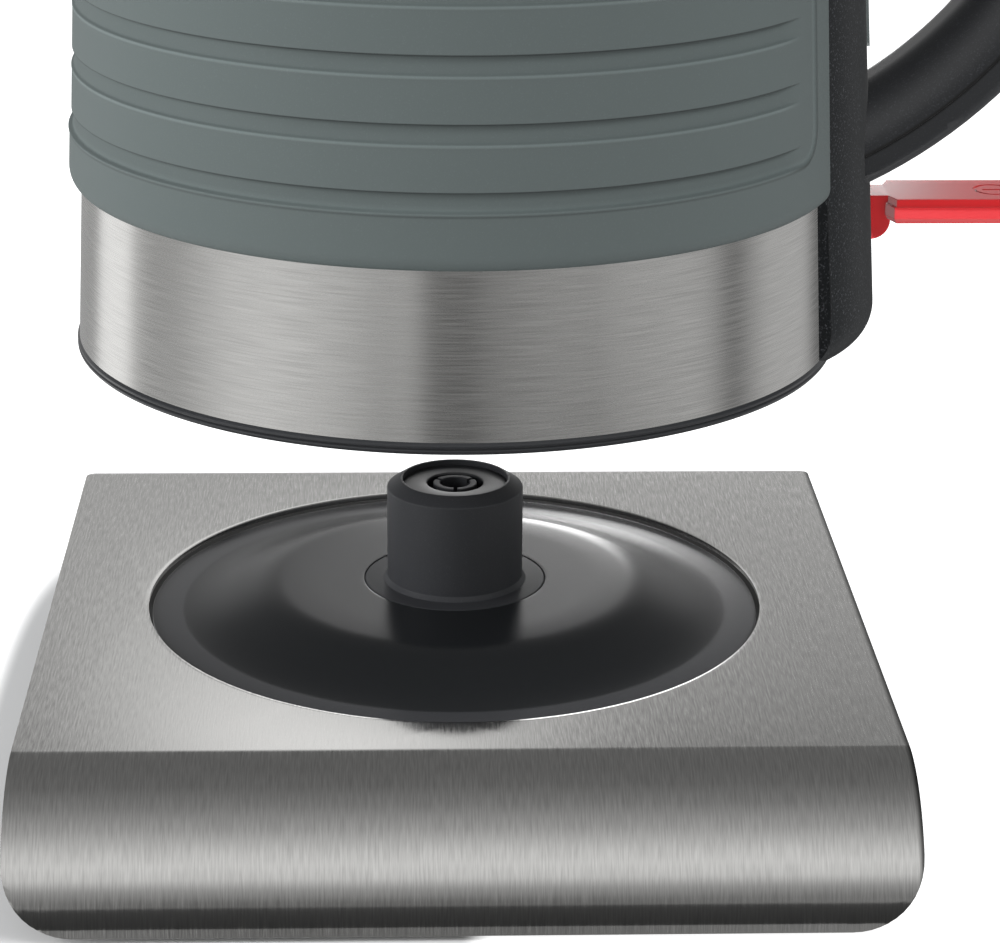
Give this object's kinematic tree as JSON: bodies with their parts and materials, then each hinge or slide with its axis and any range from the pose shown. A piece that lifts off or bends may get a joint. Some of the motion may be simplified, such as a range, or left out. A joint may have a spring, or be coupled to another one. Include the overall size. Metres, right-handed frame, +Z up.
{
  "type": "electric kettle",
  "caption": "Cordless jug kettle with rubber grip sleeve, D handle, switch lever and hinged lid, raised above a steel power base with a round connector post.",
  "frame": {"origin": "on the connector post's axis, at the plane on which the base's foot ring stands", "axes": "+Z up along the connector post, +X towards the jug's handle, -Y towards the base's rolled front edge"},
  "size_m": [0.2094, 0.1698, 0.2952],
  "materials": {
    "steel": "brushed",
    "satin_black": "satin",
    "black_housing": "matt",
    "textured_black": "fine texture",
    "smooth_black": "smooth satin",
    "sleeve_rubber": "matt rubber",
    "foot_rubber": "matt",
    "lid_steel": "circular brushed",
    "plain_steel": "plain",
    "element_metal": "plain",
    "aluminium": "plain",
    "brass": "plain",
    "pale_plastic": "matt",
    "wire_cover": "matt",
    "silicone": "matt",
    "clear_window": "clear",
    "float_red": "gloss",
    "clear_red": "translucent gloss",
    "lamp_glass": "clear"
  },
  "bodies": {
    "base": {"base_plate": "steel", "base_housing": "black_housing", "base_cover": "black_housing", "foot_ring": "foot_rubber", "base_screws": "plain_steel", "cord_gland": "foot_rubber", "cord_clamp": "black_housing", "terminal_block": "pale_plastic", "base_wires": "wire_cover", "base_dish": "satin_black", "connector_post": "satin_black", "contact_block": "pale_plastic", "base_pin_contact": "brass", "base_ring_contact": "brass"},
    "connector_ring": {"shutter_ring": "satin_black"},
    "jug": {"bottom_moulding": "satin_black", "bottom_screws": "plain_steel", "control_unit": "pale_plastic", "jug_pin_contact": "brass", "jug_ring_contact": "brass", "thermal_disc": "plain_steel", "heating_element": "element_metal", "element_leads": "brass", "heat_spreader": "aluminium", "heating_plate": "plain_steel", "plate_seal": "silicone", "jug_shell": "steel", "grip_sleeve": "sleeve_rubber", "handle_column": "textured_black", "column_screws": "plain_steel", "steam_pipe": "pale_plastic", "gauge_window": "clear_window", "handle_grip": "textured_black", "handle_strip": "smooth_black", "lever_pin": "plain_steel", "trip_spring": "plain_steel", "indicator_lamp": "lamp_glass", "lamp_leads": "wire_cover", "top_collar": "satin_black", "spout": "smooth_black", "hinge_pin": "plain_steel", "latch_housing": "textured_black", "button_spring": "plain_steel"},
    "lever": {"switch_lever": "clear_red"},
    "lid": {"lid_cap": "satin_black", "lid_disc": "lid_steel", "lid_liner": "satin_black"},
    "button": {"lid_button": "satin_black"},
    "filter": {"filter_frame": "smooth_black", "filter_mesh": "plain_steel"},
    "float": {"gauge_float": "float_red"}
  },
  "joints": [
    {"name": "jug_turn", "type": "hinge", "parent": "base", "child": "connector_ring", "pos_m": [0, 0, 0.05], "axis": [0, 0, 1], "continuous": true},
    {"name": "jug_lift", "type": "slide", "parent": "connector_ring", "child": "jug", "axis": [0, 0, 1], "range_m": [-0.0559, 0.08]},
    {"name": "switch", "type": "hinge", "parent": "jug", "child": "lever", "pos_m": [0.07567, 0, 0.104], "axis": [0, 1, 0], "range_deg": [0, 10]},
    {"name": "lid_open", "type": "hinge", "parent": "jug", "child": "lid", "pos_m": [0.057, 0, 0.2872], "axis": [0, 1, 0], "range_deg": [0, 75]},
    {"name": "button_press", "type": "slide", "parent": "jug", "child": "button", "axis": [0, 0, -1], "range_m": [0, 0.002], "stiffness_N_per_m": 600, "springref_m": -0.001, "deforming": ["button_spring"]},
    {"name": "filter_out", "type": "slide", "parent": "jug", "child": "filter", "axis": [1, 0, 0], "range_m": [0, 0.012]},
    {"name": "float_rise", "type": "slide", "parent": "jug", "child": "float", "axis": [-0.0698, 0, 0.9976], "range_m": [0, 0.092]}
  ]
}
